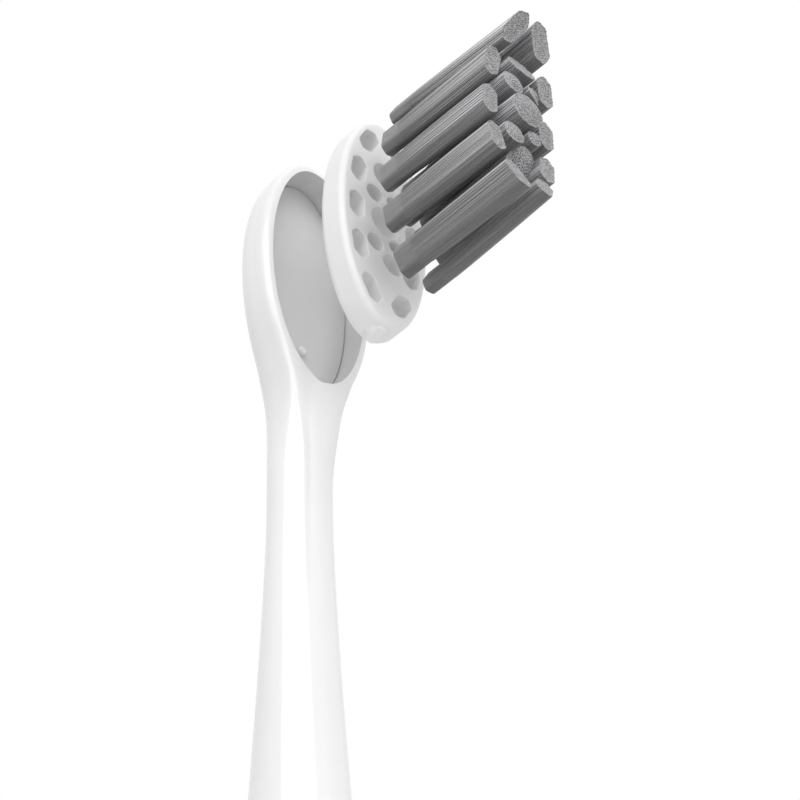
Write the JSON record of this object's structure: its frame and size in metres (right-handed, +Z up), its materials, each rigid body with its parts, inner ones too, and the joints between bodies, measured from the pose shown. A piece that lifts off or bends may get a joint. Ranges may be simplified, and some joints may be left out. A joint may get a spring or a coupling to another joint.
{
  "type": "electric toothbrush",
  "caption": "Slim powered toothbrush with a clip-on brush head, opened up so that its bristle carrier and tufts stand drawn out in front of the recess that they seat in.",
  "frame": {"origin": "centre of the flat base of the handle", "axes": "+Z up along the drive axis towards the brush head, -Y the side that the bristles and the power button face, +X across"},
  "size_m": [0.027, 0.0405, 0.2424],
  "materials": {
    "gloss_white": "glossy moulded plastic",
    "carrier_white": "smooth satin moulded plastic",
    "bristle_grey": "fine grey nylon filaments with paler cut tips",
    "ring_grey": "satin moulded plastic",
    "frame_plastic": "matte moulded plastic",
    "soft_grey": "soft-touch plastic",
    "seal_rubber": "matte rubber",
    "steel": "ground steel",
    "spring_steel": "spring steel",
    "nickel": "nickel-plated",
    "magnet_metal": "plated magnet",
    "core_iron": "stacked laminations",
    "copper_wire": "enamelled copper wire",
    "bronze": "sintered bronze",
    "battery_wrap": "shrink sleeve",
    "board_green": "solder resist",
    "lens_clear": "clear moulded window",
    "led_body": "small light package"
  },
  "bodies": {
    "handle": {"handle_shell": "gloss_white", "bottom_cap": "gloss_white", "cap_seal_ring": "seal_rubber", "cap_screw_left": "steel", "cap_screw_right": "steel", "coil_bobbin": "frame_plastic", "charging_coil": "copper_wire", "chassis": "frame_plastic", "battery_cell": "battery_wrap", "battery_contact_lower": "nickel", "battery_contact_upper": "nickel", "circuit_board": "board_green", "push_switch": "nickel", "indicator_led": "led_body", "indicator_lens": "lens_clear", "button_gasket": "seal_rubber", "rear_bearing": "bronze", "front_bearing": "bronze", "stator_core": "core_iron", "drive_coil": "copper_wire", "nose_collar": "ring_grey", "shaft_seal": "seal_rubber"},
    "button": {"power_button": "soft_grey"},
    "drive": {"drive_shaft": "steel", "rotor_hub": "frame_plastic", "rotor_magnet_left": "magnet_metal", "rotor_magnet_right": "magnet_metal"},
    "brush_head": {"head_shell": "gloss_white", "base_ring": "ring_grey", "drive_socket": "frame_plastic", "retention_clip": "spring_steel"},
    "carrier": {"bristle_carrier": "carrier_white"},
    "tufts": {"tuft_left_1": "bristle_grey", "tuft_left_2": "bristle_grey", "tuft_left_3": "bristle_grey", "tuft_left_4": "bristle_grey", "tuft_left_5": "bristle_grey", "tuft_right_1": "bristle_grey", "tuft_right_2": "bristle_grey", "tuft_right_3": "bristle_grey", "tuft_right_4": "bristle_grey", "tuft_right_5": "bristle_grey", "tuft_centre_upper": "bristle_grey", "tuft_centre_middle": "bristle_grey", "tuft_centre_lower": "bristle_grey", "tuft_inner_left_upper": "bristle_grey", "tuft_inner_left_lower": "bristle_grey", "tuft_inner_right_upper": "bristle_grey", "tuft_inner_right_lower": "bristle_grey"}
  },
  "joints": [
    {"name": "button_press", "type": "slide", "parent": "handle", "child": "button", "axis": [0, 1, 0], "range_m": [0, 0.0005], "stiffness_N_per_m": 2000},
    {"name": "shaft_swing", "type": "hinge", "parent": "handle", "child": "drive", "pos_m": [0, 0, 0.07524], "axis": [0, 0, 1], "range_deg": [-7, 7], "stiffness_Nm_per_rad": 0.05},
    {"name": "head_pull", "type": "slide", "parent": "drive", "child": "brush_head", "axis": [0, 0, 1], "range_m": [0, 0.02]},
    {"name": "carrier_seat", "type": "slide", "parent": "brush_head", "child": "carrier", "axis": [0, 1, 0], "range_m": [0, 0.00748]},
    {"name": "tuft_seat", "type": "slide", "parent": "carrier", "child": "tufts", "axis": [0, 1, 0], "range_m": [0, 0.0059]}
  ]
}
